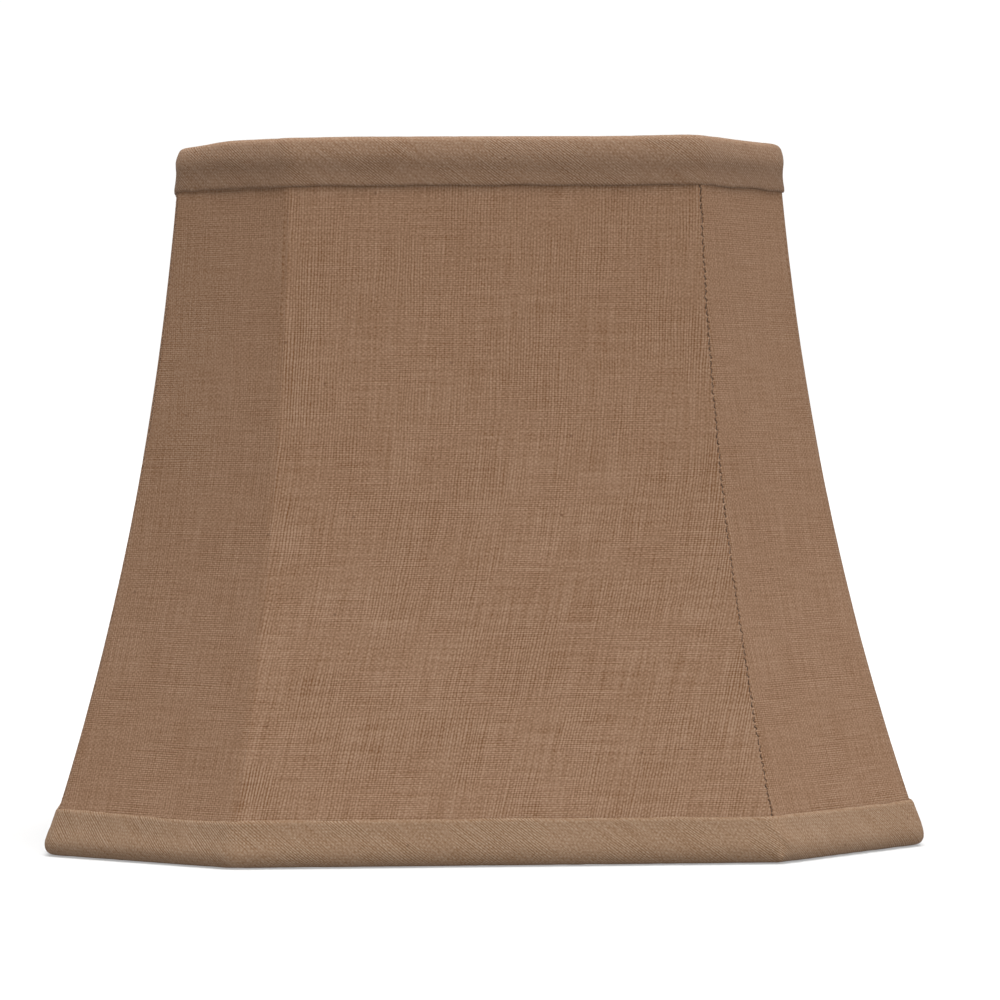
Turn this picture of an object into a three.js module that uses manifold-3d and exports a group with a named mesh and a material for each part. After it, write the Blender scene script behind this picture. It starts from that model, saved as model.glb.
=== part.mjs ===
// Soft-back lamp shade on a bent wire frame: a square bell with cut corners, eight panels in plan.
// Millimetres, +Z up. The origin is the middle of the shade at its bottom edge, and the front faces -Y.
import * as THREE from 'three';
import { mergeVertices } from 'three/addons/utils/BufferGeometryUtils.js';
import Module from 'manifold-3d';

// Overall size, over the trims.
const HEIGHT = 205;
const BOTTOM_WIDTH = 255.4;
const TOP_WIDTH = 177;

// Bell profile of the cloth's outer face. Half widths are measured at a main panel, from the axis to the
// panel and from the panel's middle to its corner. A flare is how fast a half width shrinks with height.
const PANEL_REACH = { foot: BOTTOM_WIDTH / 2 - 0.1, head: TOP_WIDTH / 2 - 1.1, footFlare: 0.335, headFlare: 0.078 };
const CORNER_REACH = { foot: 77.1, head: 58.7, footFlare: 0.172, headFlare: 0.017 };

// The hand-bent frame's corners all sit this far round from square, counter-clockwise from above.
const CORNER_SHIFT = 3;

// Layers, as offsets outward from the cloth's outer face. GAP keeps touching pieces apart.
const GAP = 0.3;
const COVER_THICKNESS = 0.8;
const LINER_THICKNESS = 0.6;
const TRIM_THICKNESS = 0.6;
const RING_WIRE = 3;
const RIB_WIRE = 2.4;
const WIRE_OFFSET = -(COVER_THICKNESS + GAP + RING_WIRE / 2);
const LINER_OFFSET = WIRE_OFFSET - RING_WIRE / 2 - GAP;
const NEATENER_OFFSET = LINER_OFFSET - LINER_THICKNESS - GAP;
const FOLD_RADIUS = 3.6;
const RING_BEND = 4.5;

// Trims: a folded strip that hooks over a ring and both cloths. Insets are measured from the shade's edge.
const TRIM_OUTER_DEPTH = 14.6;
const TRIM_INNER_DEPTH = 12;
const TRIM_ROLL = 3;
const RING_INSET = 2.7;
const CLOTH_INSET = 2.4;

// Washer fitter, hung below the top ring on four arms.
const WASHER_DIAMETER = 30;
const WASHER_HOLE = 11.1;
const WASHER_THICKNESS = 1.6;
const WASHER_DROP = 13;
const ARM_WIRE = 2.8;
const ARM_INNER_END = 8;
const ARM_BEND_START = 20;
const ARM_SAG = 1;
const ARM_BELOW_RING = 0.8;
const ARM_END_SKEW = 0.2;

const NEATENER_WIDTH = 14;
const NEATENER_HEIGHT = 9;

// Facets.
const CLOTH_ROWS = 10;
const CLOTH_ARC_STEPS = 2;
const HOOP_ARC_STEPS = 3;
const WIRE_SIDES = 8;
const RING_SIDES = 10;
const RIB_STEPS = 12;
const ARM_STEPS = 8;
const ROLL_STEPS = 3;
const WASHER_SEGMENTS = 16;

const EIGHTH_TURN = Math.PI / 4;
const QUARTER_TURN = Math.PI / 2;
const SIDES = ['front', 'right', 'back', 'left'];

const MATERIALS = {
  linen: { color: 0x92725b, roughness: 0.95, metalness: 0 },
  binding: { color: 0x967a64, roughness: 0.95, metalness: 0 },
  lining: { color: 0xe9e2d2, roughness: 0.9, metalness: 0 },
  wire: { color: 0xb9b8b2, roughness: 0.4, metalness: 0.9 },
};

const wasm = await Module();
wasm.setup();

// Cubic from foot (z = 0) to head (z = HEIGHT) with a stated flare at each end.
function reachAt(reach, z) {
  const t = z / HEIGHT;
  const footSlope = -reach.footFlare * HEIGHT;
  const headSlope = -reach.headFlare * HEIGHT;
  return (2 * t ** 3 - 3 * t ** 2 + 1) * reach.foot + (t ** 3 - 2 * t ** 2 + t) * footSlope
    + (3 * t ** 2 - 2 * t ** 3) * reach.head + (t ** 3 - t ** 2) * headSlope;
}

// Turn from a main panel to the cut corner after it: an eighth, and more as the corners are shifted.
function cutTurnAt(z) {
  return EIGHTH_TURN + Math.atan(CORNER_SHIFT / (reachAt(PANEL_REACH, z) - reachAt(CORNER_REACH, z)));
}

// Distance from the axis to a cut-corner panel's outer face.
function cutReachAt(z) {
  const turn = cutTurnAt(z);
  const corner = reachAt(CORNER_REACH, z) + CORNER_SHIFT;
  return reachAt(PANEL_REACH, z) * Math.cos(turn) + corner * Math.sin(turn);
}

// The same, along the diagonal between two main panels.
function diagonalReachAt(z, offset) {
  return (cutReachAt(z) + offset) / Math.cos(cutTurnAt(z) - EIGHTH_TURN);
}

// Direction that a main panel faces: 0 is the front, and the rest follow counter-clockwise from above.
function facing(side) {
  return side * QUARTER_TURN - QUARTER_TURN;
}

function polar(angle, length) {
  return new THREE.Vector2(Math.cos(angle) * length, Math.sin(angle) * length);
}

// Corner at one end (-1 or 1) of a main panel, for a layer at this height and offset.
function cornerAt(side, end, z, offset) {
  const main = reachAt(PANEL_REACH, z) + offset;
  const cut = cutReachAt(z) + offset;
  const turn = cutTurnAt(z);
  const along = end > 0
    ? (cut - main * Math.cos(turn)) / Math.sin(turn)
    : (main * Math.sin(turn) - cut) / Math.cos(turn);
  return polar(facing(side), main).add(polar(facing(side) + QUARTER_TURN, along));
}

// Rounded corner, from one share of its turn to another (0 to 1, counter-clockwise).
function cornerArc({ side, end, z, offset, radius, steps, from = 0, to = 1 }) {
  const centre = cornerAt(side, end, z, offset - radius);
  const start = facing(side) + (end < 0 ? cutTurnAt(z) - QUARTER_TURN : 0);
  const turn = end < 0 ? QUARTER_TURN - cutTurnAt(z) : cutTurnAt(z);
  const points = [];
  for (let i = 0; i <= steps; i++) {
    const angle = start + (from + (to - from) * (i / steps)) * turn;
    const point = polar(angle, radius).add(centre);
    points.push(new THREE.Vector3(point.x, point.y, z));
  }
  return points;
}

// Whole plan outline of a layer, counter-clockwise.
function outline(z, offset, radius) {
  const points = [];
  for (let side = 0; side < SIDES.length; side++) {
    for (const end of [-1, 1]) {
      points.push(...cornerArc({ side, end, z, offset, radius, steps: HOOP_ARC_STEPS }));
    }
  }
  return points;
}

// Outline of one cut corner and the main panel after it, from seam to seam.
function pieceOutline(side, z, offset) {
  const seamShare = GAP / 2 / (FOLD_RADIUS * EIGHTH_TURN);
  const shared = { z, offset, radius: FOLD_RADIUS, steps: CLOTH_ARC_STEPS };
  return [
    ...cornerArc({ ...shared, side: side - 1, end: 1, from: 0.5 + seamShare, to: 1 }),
    ...cornerArc({ ...shared, side, end: -1 }),
    ...cornerArc({ ...shared, side, end: 1, from: 0, to: 0.5 - seamShare }),
  ];
}

// Two ends of a strip that lies along a cut corner, centred on the diagonal.
function stripOutline(side, z, offset) {
  const middle = polar(facing(side) - EIGHTH_TURN, diagonalReachAt(z, offset));
  const tangent = facing(side) + cutTurnAt(z);
  return [-0.5, 0.5].map((share) => {
    const point = polar(tangent, NEATENER_WIDTH * share).add(middle);
    return new THREE.Vector3(point.x, point.y, z);
  });
}

function geometryOf(points, triangles) {
  const geometry = new THREE.BufferGeometry();
  geometry.setFromPoints(points);
  geometry.setIndex(triangles);
  geometry.computeVertexNormals();
  return geometry;
}

// Closed sheet between an outer and an inner grid of points with the same rows and columns.
function sheetGeometry(outer, inner) {
  const columns = outer[0].length;
  const rows = outer.length;
  const points = [...outer.flat(), ...inner.flat()];
  const innerStart = rows * columns;
  const triangles = [];
  const quad = (a, b, c, d) => triangles.push(a, b, c, a, c, d);
  for (let row = 0; row < rows - 1; row++) {
    for (let column = 0; column < columns - 1; column++) {
      const a = row * columns + column;
      quad(a, a + 1, a + columns + 1, a + columns);
      quad(innerStart + a, innerStart + a + columns, innerStart + a + columns + 1, innerStart + a + 1);
    }
    const left = row * columns;
    const right = left + columns - 1;
    quad(left, left + columns, innerStart + left + columns, innerStart + left);
    quad(right, innerStart + right, innerStart + right + columns, right + columns);
  }
  const lastRow = (rows - 1) * columns;
  for (let column = 0; column < columns - 1; column++) {
    quad(column, innerStart + column, innerStart + column + 1, column + 1);
    const top = lastRow + column;
    quad(top, top + 1, innerStart + top + 1, innerStart + top);
  }
  return geometryOf(points, triangles);
}

// Closed band that carries a section of { z, offset, radius } points all the way round.
function hoopGeometry(section) {
  const loops = section.map(({ z, offset, radius }) => outline(z, offset, radius));
  const columns = loops[0].length;
  const triangles = [];
  loops.forEach((loop, row) => {
    const next = (row + 1) % loops.length;
    for (let column = 0; column < columns; column++) {
      const after = (column + 1) % columns;
      const [a, b] = [row * columns + column, row * columns + after];
      const [c, d] = [next * columns + after, next * columns + column];
      triangles.push(a, b, c, a, c, d);
    }
  });
  return geometryOf(loops.flat(), triangles);
}

// Round wire along a curve.
function wireGeometry(curve, diameter, steps) {
  const section = new THREE.Shape();
  for (let i = 0; i < WIRE_SIDES; i++) {
    const point = polar((i / WIRE_SIDES) * 2 * Math.PI, diameter / 2);
    if (i === 0) section.moveTo(point.x, point.y);
    else section.lineTo(point.x, point.y);
  }
  return new THREE.ExtrudeGeometry(section, { steps, extrudePath: curve });
}

function solidOf(geometry) {
  const bare = geometry.clone();
  bare.deleteAttribute('normal');
  bare.deleteAttribute('uv');
  const merged = mergeVertices(bare, 1e-4);
  return new wasm.Manifold(new wasm.Mesh({
    numProp: 3,
    vertProperties: new Float32Array(merged.attributes.position.array),
    triVerts: new Uint32Array(merged.index.array),
  }));
}

// Geometry less each of the cutters.
function cutAll(geometry, cutters) {
  const solid = cutters.reduce((body, cutter) => body.subtract(solidOf(cutter)), solidOf(geometry));
  const { vertProperties, triVerts } = solid.getMesh();
  const result = new THREE.BufferGeometry();
  result.setAttribute('position', new THREE.BufferAttribute(vertProperties, 3));
  result.setIndex(new THREE.BufferAttribute(triVerts, 1));
  result.computeVertexNormals();
  return result;
}

function levels(from, to, count) {
  return Array.from({ length: count + 1 }, (_, i) => from + (to - from) * (i / count));
}

function clothGeometry(side, offset, thickness) {
  const heights = levels(CLOTH_INSET, HEIGHT - CLOTH_INSET, CLOTH_ROWS);
  const layer = (layerOffset) => heights.map((z) => pieceOutline(side, z, layerOffset));
  return sheetGeometry(layer(offset), layer(offset - thickness));
}

function neatenerGeometry(side) {
  const top = HEIGHT - TRIM_INNER_DEPTH - GAP;
  const heights = [top - NEATENER_HEIGHT, top];
  const layer = (offset) => heights.map((z) => stripOutline(side, z, offset));
  return sheetGeometry(layer(NEATENER_OFFSET), layer(NEATENER_OFFSET - LINER_THICKNESS));
}

// Hooked section of a trim for an edge at z = 0, open upward: out, round the edge, and back inside it.
function trimSection() {
  const outside = GAP + TRIM_THICKNESS;
  const inside = NEATENER_OFFSET - TRIM_THICKNESS;
  const roll = (centreOffset, radius, from, to) => levels(from, to, ROLL_STEPS).map((quarters) => ({
    offset: centreOffset + radius * Math.cos(quarters * QUARTER_TURN),
    z: TRIM_ROLL + radius * Math.sin(quarters * QUARTER_TURN),
  }));
  const innerRadius = TRIM_ROLL - TRIM_THICKNESS;
  return [
    { offset: inside, z: TRIM_INNER_DEPTH },
    ...roll(inside + TRIM_ROLL, TRIM_ROLL, 2, 3),
    ...roll(outside - TRIM_ROLL, TRIM_ROLL, 3, 4),
    { offset: outside, z: TRIM_OUTER_DEPTH },
    { offset: GAP, z: TRIM_OUTER_DEPTH },
    ...roll(outside - TRIM_ROLL, innerRadius, 4, 3),
    ...roll(inside + TRIM_ROLL, innerRadius, 3, 2),
    { offset: NEATENER_OFFSET, z: TRIM_INNER_DEPTH },
  ].map((point) => ({ ...point, radius: FOLD_RADIUS }));
}

function turnedOver(section) {
  return section.map((point) => ({ ...point, z: HEIGHT - point.z })).reverse();
}

function ringSection(z) {
  return levels(0, 2 * Math.PI, RING_SIDES).slice(1).map((angle) => {
    const outward = (RING_WIRE / 2) * Math.cos(angle);
    return {
      offset: WIRE_OFFSET + outward,
      z: z + (RING_WIRE / 2) * Math.sin(angle),
      radius: RING_BEND + outward,
    };
  });
}

function ribGeometry(side, end) {
  const clear = RING_INSET + RING_WIRE / 2 + GAP;
  const points = levels(clear, HEIGHT - clear, RIB_STEPS).map((z) => {
    const corner = cornerAt(side, end, z, WIRE_OFFSET);
    return new THREE.Vector3(corner.x, corner.y, z);
  });
  return wireGeometry(new THREE.CatmullRomCurve3(points), RIB_WIRE, RIB_STEPS);
}

const ARM_HIGH = HEIGHT - RING_INSET - ARM_BELOW_RING;
const ARM_LOW = HEIGHT - WASHER_DROP - WASHER_THICKNESS - GAP - ARM_WIRE / 2;

// An arm starts level under the washer and rises along a diagonal to the top ring.
function armGeometry(side) {
  const angle = facing(side) - EIGHTH_TURN;
  const outerEnd = diagonalReachAt(ARM_HIGH, WIRE_OFFSET - RING_WIRE / 2 - GAP) - ARM_END_SKEW;
  const at = (distance, z) => {
    const point = polar(angle, distance);
    return new THREE.Vector3(point.x, point.y, z);
  };
  const route = new THREE.CatmullRomCurve3([
    at(ARM_INNER_END, ARM_LOW),
    at(ARM_BEND_START, ARM_LOW),
    at((ARM_BEND_START + outerEnd) / 2, (ARM_LOW + ARM_HIGH) / 2 - ARM_SAG),
    at(outerEnd, ARM_HIGH),
  ]);
  return wireGeometry(route, ARM_WIRE, ARM_STEPS);
}

// Block, square to the cut corner, that snips a cloth's edge where an arm passes between two heights.
function snipGeometry(side, low, high) {
  const nearest = NEATENER_OFFSET - 4 * TRIM_THICKNESS;
  const farthest = WIRE_OFFSET;
  const middle = polar(facing(side) - EIGHTH_TURN, diagonalReachAt(HEIGHT, (nearest + farthest) / 2));
  const block = new THREE.BoxGeometry(farthest - nearest, ARM_WIRE + 2 * GAP, high - low);
  block.rotateZ(facing(side - 1) + cutTurnAt(HEIGHT));
  return block.translate(middle.x, middle.y, (low + high) / 2);
}

function washerGeometry() {
  const disc = new THREE.Shape().absarc(0, 0, WASHER_DIAMETER / 2, 0, 2 * Math.PI, false);
  disc.holes.push(new THREE.Path().absarc(0, 0, WASHER_HOLE / 2, 0, 2 * Math.PI, true));
  const geometry = new THREE.ExtrudeGeometry(disc, {
    depth: WASHER_THICKNESS,
    bevelEnabled: false,
    curveSegments: WASHER_SEGMENTS,
  });
  return geometry.translate(0, 0, HEIGHT - WASHER_DROP - WASHER_THICKNESS);
}

const shade = new THREE.Group();

function addPart(name, material, geometry) {
  const mesh = new THREE.Mesh(geometry, new THREE.MeshStandardMaterial(MATERIALS[material]));
  mesh.name = name;
  shade.add(mesh);
}

// The lining is snipped down from its top edge, and the top trim up from its inner edge.
const snipReach = ARM_WIRE / 2 + 2 * GAP;
const linerSnip = (side) => snipGeometry(side, ARM_HIGH - snipReach, HEIGHT);
const trimSnip = (side) => snipGeometry(side, HEIGHT - TRIM_OUTER_DEPTH, ARM_HIGH + snipReach - GAP);

SIDES.forEach((name, side) => {
  addPart(`cover_${name}`, 'linen', clothGeometry(side, 0, COVER_THICKNESS));
  const liner = clothGeometry(side, LINER_OFFSET, LINER_THICKNESS);
  addPart(`liner_${name}`, 'lining', cutAll(liner, [linerSnip(side)]));
  addPart(`neatener_${side + 1}`, 'lining', neatenerGeometry(side));
  addPart(`arm_${side + 1}`, 'wire', armGeometry(side));
  addPart(`rib_${2 * side + 1}`, 'wire', ribGeometry(side, -1));
  addPart(`rib_${2 * side + 2}`, 'wire', ribGeometry(side, 1));
});
addPart('bottom_ring', 'wire', hoopGeometry(ringSection(RING_INSET)));
addPart('top_ring', 'wire', hoopGeometry(ringSection(HEIGHT - RING_INSET)));
addPart('bottom_trim', 'binding', hoopGeometry(trimSection()));
addPart('top_trim', 'binding', cutAll(hoopGeometry(turnedOver(trimSection())), [0, 1, 2, 3].map(trimSnip)));
addPart('washer', 'wire', washerGeometry());

export default shade;
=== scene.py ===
"""Cut-corner square bell lamp shade: linen cover, bias bindings, pale lining, wire frame and fitter."""
import math

import bpy
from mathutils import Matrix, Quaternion, Vector, noise


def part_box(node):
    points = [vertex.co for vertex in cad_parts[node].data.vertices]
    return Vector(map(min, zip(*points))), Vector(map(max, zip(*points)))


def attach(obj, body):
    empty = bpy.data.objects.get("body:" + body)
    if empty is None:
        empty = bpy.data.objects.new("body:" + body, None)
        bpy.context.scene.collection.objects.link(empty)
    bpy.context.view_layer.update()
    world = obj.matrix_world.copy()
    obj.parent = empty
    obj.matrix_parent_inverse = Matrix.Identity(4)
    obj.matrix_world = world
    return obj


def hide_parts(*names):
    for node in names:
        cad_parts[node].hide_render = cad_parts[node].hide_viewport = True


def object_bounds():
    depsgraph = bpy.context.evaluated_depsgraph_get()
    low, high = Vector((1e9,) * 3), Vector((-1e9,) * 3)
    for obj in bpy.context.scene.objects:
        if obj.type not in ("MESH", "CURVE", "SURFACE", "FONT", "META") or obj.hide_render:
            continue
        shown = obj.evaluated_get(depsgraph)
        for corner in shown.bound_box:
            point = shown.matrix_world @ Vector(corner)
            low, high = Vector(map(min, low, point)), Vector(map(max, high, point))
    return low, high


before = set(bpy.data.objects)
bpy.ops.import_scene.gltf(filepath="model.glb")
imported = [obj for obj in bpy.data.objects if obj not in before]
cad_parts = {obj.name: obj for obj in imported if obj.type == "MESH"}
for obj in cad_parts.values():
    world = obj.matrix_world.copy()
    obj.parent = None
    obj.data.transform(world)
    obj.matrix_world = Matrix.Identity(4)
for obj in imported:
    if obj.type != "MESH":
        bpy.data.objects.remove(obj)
cad_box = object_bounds()

MM = 0.001
SIDES = ("front", "right", "back", "left")

# The ribs' wire, and the layers' distances outward from the linen's outer face, as in the frame.
RIB_RADIUS = 1.2 * MM
WIRE_OFFSET = -2.6 * MM
LINER_OFFSET = -4.4 * MM
NEATENER_OFFSET = -5.3 * MM

# Roundings of the cloth over a rib, where it folds and where two pieces are sewn together.
FOLD_RADIUS = 1.6 * MM
SEAM_RADIUS = 3.0 * MM

# How fast the half widths shrink with height, at the two ends of a rib.
PANEL_FLARE = (0.329, 0.080)
CORNER_FLARE = (0.168, 0.020)

BOTTOM = cad_box[0].z
TOP = cad_box[1].z
HEIGHT = TOP - BOTTOM

# Half widths at the two ends of the front ribs: axis to panel, and panel's middle to its corner. The
# corners are shifted round from square, as in the frame.
left_low, left_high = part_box("rib_1")
right_low, right_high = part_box("rib_2")
CORNER_GAIN = math.sqrt(2) - 1
PANEL_ENDS = (
    -left_low.y - RIB_RADIUS - WIRE_OFFSET,
    -left_high.y + RIB_RADIUS - WIRE_OFFSET,
)
CORNER_ENDS = (
    (right_high.x - left_low.x) / 2 - RIB_RADIUS - WIRE_OFFSET * CORNER_GAIN,
    (right_low.x - left_high.x) / 2 + RIB_RADIUS - WIRE_OFFSET * CORNER_GAIN,
)
CORNER_SHIFT = (right_high.x + left_low.x + right_low.x + left_high.x) / 4

washer_low, washer_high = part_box("washer")
arm_low, arm_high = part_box("arm_1")
ARM_RADIUS = 1.4 * MM
ARM_REACH = -arm_low.x * math.sqrt(2) - ARM_RADIUS
ARM_BOTTOM = arm_low.z
ARM_TOP = arm_high.z


# -------------------- shape of the bell

def cubic(z, ends, flare):
    """Half width at a height, from its value and flare at the rib's two ends."""
    span = left_high.z - left_low.z
    t = (z - left_low.z) / span
    foot, head = ends
    return (
        (2 * t**3 - 3 * t**2 + 1) * foot
        - (t**3 - 2 * t**2 + t) * flare[0] * span
        + (3 * t**2 - 2 * t**3) * head
        - (t**3 - t**2) * flare[1] * span
    )


def panel_reach(z):
    return cubic(z, PANEL_ENDS, PANEL_FLARE)


def corner_reach(z):
    return cubic(z, CORNER_ENDS, CORNER_FLARE)


def cut_turn(z):
    """Turn from a main panel to the cut corner after it."""
    return math.pi / 4 + math.atan(CORNER_SHIFT / (panel_reach(z) - corner_reach(z)))


def cut_reach(z):
    turn = cut_turn(z)
    return panel_reach(z) * math.cos(turn) + (corner_reach(z) + CORNER_SHIFT) * math.sin(turn)


def facing(side):
    """Direction that a main panel faces; 0 is the front, and the rest follow counter-clockwise."""
    return (side - 1) * math.pi / 2


def polar(angle, length):
    return Vector((math.cos(angle), math.sin(angle))) * length


def corner_at(side, end, z, offset):
    """Sharp corner at one end (-1 or 1) of a main panel, for a layer at this height and offset."""
    main = panel_reach(z) + offset
    cut = cut_reach(z) + offset
    turn = cut_turn(z)
    if end > 0:
        along = (cut - main * math.cos(turn)) / math.sin(turn)
    else:
        along = (main * math.sin(turn) - cut) / math.cos(turn)
    return polar(facing(side), main) + polar(facing(side) + math.pi / 2, along)


def corner_arc(side, end, z, offset, radius, shares):
    """Points of a rounded corner, at shares of its turn from 0 to 1."""
    centre = corner_at(side, end, z, offset - radius)
    turn = cut_turn(z) if end > 0 else math.pi / 2 - cut_turn(z)
    start = facing(side) + (0 if end > 0 else cut_turn(z) - math.pi / 2)
    return [centre + polar(start + share * turn, radius) for share in shares]


def within(value):
    """A value kept between 0 and 1."""
    return min(max(value, 0.0), 1.0)


def bell(distance, width):
    """1 at no distance, falling smoothly to nothing over about twice the width."""
    return math.exp(-((distance / width) ** 2))


def even(count, low=0.0, high=1.0):
    """count + 1 evenly spaced numbers."""
    return [low + (high - low) * i / count for i in range(count + 1)]


def eased(count, fine):
    """Shares from 0 to 1 that crowd towards both ends; fine is 0 for even spacing."""
    return [t - fine * math.sin(2 * math.pi * t) / (2 * math.pi) for t in even(count)]


def run(start, stop, shares, crown=0.0):
    """Points between two corners, without the ends, bowed outward by crown in the middle."""
    outward = Vector((stop.y - start.y, start.x - stop.x)).normalized()
    return [
        start.lerp(stop, share) + outward * crown * 4 * share * (1 - share)
        for share in shares[1:-1]
    ]


SLIT_STEPS = 14
SLIT_WIDTH = 2 * ARM_RADIUS + 0.7 * MM


def slit_shares(start, stop, side):
    """Shares across the cut corner before a side, with a slit's two edges at the arm's diagonal. The
    slit's columns are SLIT_STEPS and SLIT_STEPS + 1."""
    along = stop - start
    ray = polar(facing(side) - math.pi / 4, 1)
    middle = -(start.x * ray.y - start.y * ray.x) / (along.x * ray.y - along.y * ray.x)
    half = SLIT_WIDTH / 2 / along.length
    return even(SLIT_STEPS, 0, middle - half) + [middle] + even(SLIT_STEPS, middle + half, 1)


def ripple(place, size, seed):
    """Smooth noise from -1 to 1 that changes over about this size."""
    return noise.noise(Vector((place[0] / size, place[1] / size, seed * 7.31)))


def outward_at(points, i, closed=False):
    """Direction out of a plan outline at one of its points."""
    before = points[i - 1] if closed else points[max(i - 1, 0)]
    after = points[(i + 1) % len(points)] if closed else points[min(i + 1, len(points) - 1)]
    return Vector((after.y - before.y, before.x - after.x)).normalized()


# -------------------- meshes

def link(obj):
    bpy.context.scene.collection.objects.link(obj)
    return obj


def grid_mesh(name, rows, cloth, closed=False, gaps=(), edges=None):
    """Mesh through rows of points, without the (row, column) faces in gaps. cloth holds each point's place
    on the flat cloth, in metres, with one column more than the rows where the sheet closes. edges holds
    each point's distances from the fold and from the nearer seam."""
    columns = len(rows[0])
    faces, corners = [], []
    for r in range(len(rows) - 1):
        for c in range(columns if closed else columns - 1):
            if (r, c) in gaps:
                continue
            here, after = r * columns + c, r * columns + (c + 1) % columns
            faces.append((here, after, after + columns, here + columns))
            corners += [cloth[r][c], cloth[r][c + 1], cloth[r + 1][c + 1], cloth[r + 1][c]]
    used = sorted({v for face in faces for v in face})
    place = {v: i for i, v in enumerate(used)}
    points = [p for row in rows for p in row]
    kept_faces = [[place[v] for v in face] for face in faces]
    mesh = bpy.data.meshes.new(name)
    mesh.from_pydata([points[v] for v in used], [], kept_faces)
    layer = mesh.uv_layers.new(name="cloth")
    for loop, corner in zip(layer.data, corners):
        loop.uv = corner
    if edges:
        flat = [pair for row in edges for pair in row]
        layer = mesh.uv_layers.new(name="edges")
        for loop, data in zip(mesh.loops, layer.data):
            data.uv = flat[used[loop.vertex_index]]
    mesh.shade_smooth()
    return link(bpy.data.objects.new(name, mesh))


def thicken(obj, thickness, offset):
    """Gives a sheet its thickness. offset -1 grows inward from the surface, and 0 both ways."""
    solid = obj.modifiers.new("thickness", "SOLIDIFY")
    solid.thickness = thickness
    solid.offset = offset
    solid.use_even_offset = True


class Strands:
    """Collects round strands, such as wires and threads, in one mesh."""

    def __init__(self):
        self.vertices, self.faces = [], []

    def add(self, points, radius, sides=6):
        """A strand through points. radius is a number, or a (sideways, upward) pair for each point."""
        sizes = [(radius, radius)] * len(points) if isinstance(radius, float) else radius
        first = len(self.vertices)
        for i, (point, (wide, tall)) in enumerate(zip(points, sizes)):
            along = (points[min(i + 1, len(points) - 1)] - points[max(i - 1, 0)]).normalized()
            reference = Vector((0, 0, 1)) if abs(along.z) < 0.9 else Vector((1, 0, 0))
            sideways = along.cross(reference).normalized()
            upward = sideways.cross(along)
            for k in range(sides):
                angle = 2 * math.pi * k / sides
                across = sideways * wide * math.cos(angle)
                self.vertices.append(point + across + upward * tall * math.sin(angle))
        for i in range(len(points) - 1):
            for k in range(sides):
                a, b = first + i * sides + k, first + i * sides + (k + 1) % sides
                self.faces.append((a, b, b + sides, a + sides))
        last = first + (len(points) - 1) * sides
        self.faces.append([first + k for k in range(sides)][::-1])
        self.faces.append([last + k for k in range(sides)])

    def build(self, name):
        mesh = bpy.data.meshes.new(name)
        mesh.from_pydata(self.vertices, [], self.faces)
        mesh.shade_smooth()
        return link(bpy.data.objects.new(name, mesh))


def dress(piece, material, slot, *nodes):
    """Gives a finished piece its material and its body, and hides the CAD nodes that it stands for. slot is
    not used.
    """
    piece.data.materials.clear()
    piece.data.materials.append(material)
    if nodes:
        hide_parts(*nodes)
    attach(piece, "root")


# -------------------- materials

def smooth_band(tree, source, bounds):
    """Smooth step of a socket's value. bounds are its low and high, then the result at each."""
    band = tree.nodes.new("ShaderNodeMapRange")
    band.interpolation_type = "SMOOTHSTEP"
    for name, number in zip(("From Min", "From Max", "To Min", "To Max"), bounds):
        band.inputs[name].default_value = number
    tree.links.new(source, band.inputs["Value"])
    return band.outputs[0]


class Graph:
    """Builds a material's nodes. Most methods return the new node's first output."""

    def __init__(self, name):
        self.material = bpy.data.materials.new(name)
        self.material.use_nodes = True
        self.tree = self.material.node_tree
        self.shader = self.tree.nodes["Principled BSDF"]

    def add(self, kind, **settings):
        node = self.tree.nodes.new("ShaderNode" + kind)
        for key, value in settings.items():
            setattr(node, key, value)
        return node

    def plug(self, socket, value):
        if isinstance(value, bpy.types.NodeSocket):
            self.tree.links.new(value, socket)
        else:
            socket.default_value = value

    def math(self, operation, *values, clamp=False):
        node = self.add("Math", operation=operation, use_clamp=clamp)
        for socket, value in zip(node.inputs, values):
            self.plug(socket, value)
        return node.outputs[0]

    def product(self, first, *others):
        for other in others:
            first = self.math("MULTIPLY", first, other)
        return first

    def total(self, first, *others):
        for other in others:
            first = self.math("ADD", first, other)
        return first

    def combine(self, x, y):
        node = self.add("CombineXYZ")
        self.plug(node.inputs["X"], x)
        self.plug(node.inputs["Y"], y)
        return node.outputs[0]

    def split(self, vector):
        """The x and y of a vector."""
        node = self.add("SeparateXYZ")
        self.plug(node.inputs[0], vector)
        return node.outputs["X"], node.outputs["Y"]

    def uv(self, layer):
        return self.add("UVMap", uv_map=layer).outputs["UV"]

    def noise(self, x, y, per_x, per_y, detail=2.0, rough=0.5, shift=0.0):
        """Noise about 0, from -1 to 1, with per_x and per_y features to a unit of x and y."""
        node = self.add("TexNoise", noise_dimensions="2D", normalize=False)
        across = self.math("ADD", self.math("MULTIPLY", x, per_x), shift)
        self.plug(node.inputs["Vector"], self.combine(across, self.math("MULTIPLY", y, per_y)))
        self.plug(node.inputs["Scale"], 1.0)
        self.plug(node.inputs["Detail"], detail)
        self.plug(node.inputs["Roughness"], rough)
        return node.outputs["Fac"]

    def ramp(self, value, low, high, out_low=0.0, out_high=1.0):
        return smooth_band(self.tree, value, (low, high, out_low, out_high))

    def mix(self, share, first, second):
        node = self.add("Mix", data_type="RGBA")
        self.plug(node.inputs["Factor"], share)
        self.plug(node.inputs[6], first)
        self.plug(node.inputs[7], second)
        return node.outputs[2]

    def bump(self, height, distance, strength=1.0):
        node = self.add("Bump")
        node.inputs["Distance"].default_value = distance
        node.inputs["Strength"].default_value = strength
        self.plug(node.inputs["Height"], height)
        self.tree.links.new(node.outputs[0], self.shader.inputs["Normal"])

    def finish(self, **sockets):
        for name, value in sockets.items():
            self.plug(self.shader.inputs[name.replace("_", " ")], value)
        return self.material


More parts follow.
